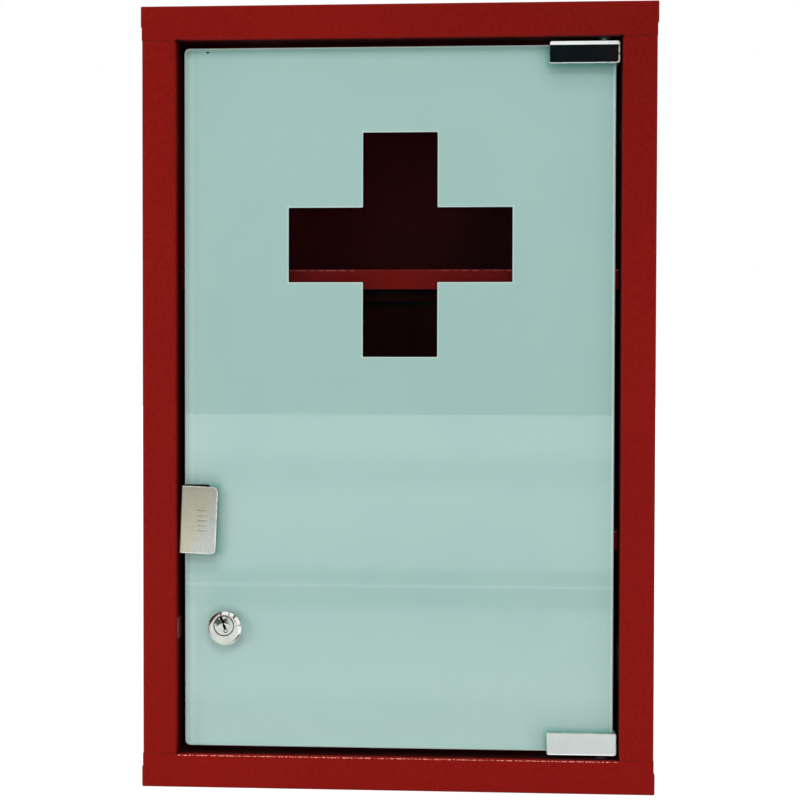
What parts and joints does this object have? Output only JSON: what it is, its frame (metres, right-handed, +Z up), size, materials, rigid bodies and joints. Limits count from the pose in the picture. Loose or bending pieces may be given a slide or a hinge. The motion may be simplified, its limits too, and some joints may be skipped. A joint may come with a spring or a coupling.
{
  "type": "lockable medicine cabinet",
  "caption": "Wall cabinet of folded red steel with shelves and a printed glass door with a clear cross, hung on pivot clamps, with a push latch and a cam lock.",
  "frame": {"origin": "middle of the four wall screw holes, on the wall plane at the back of the cabinet", "axes": "+Z up, +Y into the wall, +X to the hinge side; the glass door faces -Y"},
  "size_m": [0.3022, 0.14, 0.46],
  "materials": {
    "red_powder_coat": "fine-textured satin powder coat",
    "black_nylon": "moulded plastic",
    "keeper_steel": "zinc-plated spring steel",
    "latch_plastic": "moulded plastic",
    "screw_steel": "zinc-plated steel",
    "spring_steel": "drawn wire",
    "clear_glass": "polished, ground arris",
    "mint_print": "even back print",
    "chrome_plate": "bright plating",
    "pin_steel": "turned steel",
    "liner_plastic": "thin soft plastic",
    "black_screw_steel": "blackened steel",
    "satin_nickel": "satin nickel plating, finely scratched",
    "black_foam": "closed-cell foam",
    "lock_chrome": "bright plating",
    "nut_zinc": "zinc plating",
    "magnet_ferrite": "ground ferrite"
  },
  "bodies": {
    "cabinet": {"top_panel": "red_powder_coat", "bottom_panel": "red_powder_coat", "left_side_panel": "red_powder_coat", "right_side_panel": "red_powder_coat", "back_panel": "red_powder_coat", "upper_shelf": "red_powder_coat", "lower_shelf": "red_powder_coat", "shelf_rivets": "red_powder_coat", "top_pivot_bush": "black_nylon", "bottom_pivot_bush": "black_nylon", "lock_keeper": "keeper_steel", "latch_housing": "latch_plastic", "latch_spring": "spring_steel", "latch_screws": "screw_steel"},
    "door": {"door_glass": "clear_glass", "door_print_film": "mint_print", "top_hinge_clamp": "chrome_plate", "bottom_hinge_clamp": "chrome_plate", "pivot_pins": "pin_steel", "clamp_liners": "liner_plastic", "clamp_set_screws": "black_screw_steel", "strike_plate": "satin_nickel", "strike_pads": "black_foam", "lock_housing": "lock_chrome", "lock_gasket": "liner_plastic", "lock_washer": "screw_steel", "lock_nut": "nut_zinc"},
    "lock_rotor": {"lock_plug": "lock_chrome", "lock_cam": "screw_steel", "cam_washer": "screw_steel", "cam_screw": "screw_steel"},
    "latch_plunger": {"latch_plunger": "latch_plastic", "latch_magnet": "magnet_ferrite"}
  },
  "joints": [
    {"name": "door_hinge", "type": "hinge", "parent": "cabinet", "child": "door", "pos_m": [0.12, -0.1325, 0], "axis": [0, 0, 1], "range_deg": [0, 120]},
    {"name": "lock_turn", "type": "hinge", "parent": "door", "child": "lock_rotor", "pos_m": [-0.102, -0.1215, -0.134], "axis": [0, 1, 0], "range_deg": [0, 90]},
    {"name": "latch_press", "type": "slide", "parent": "cabinet", "child": "latch_plunger", "axis": [0, 1, 0], "range_m": [0, 0.0025], "stiffness_N_per_m": 400, "springref_m": -0.004, "deforming": ["latch_spring"]}
  ]
}
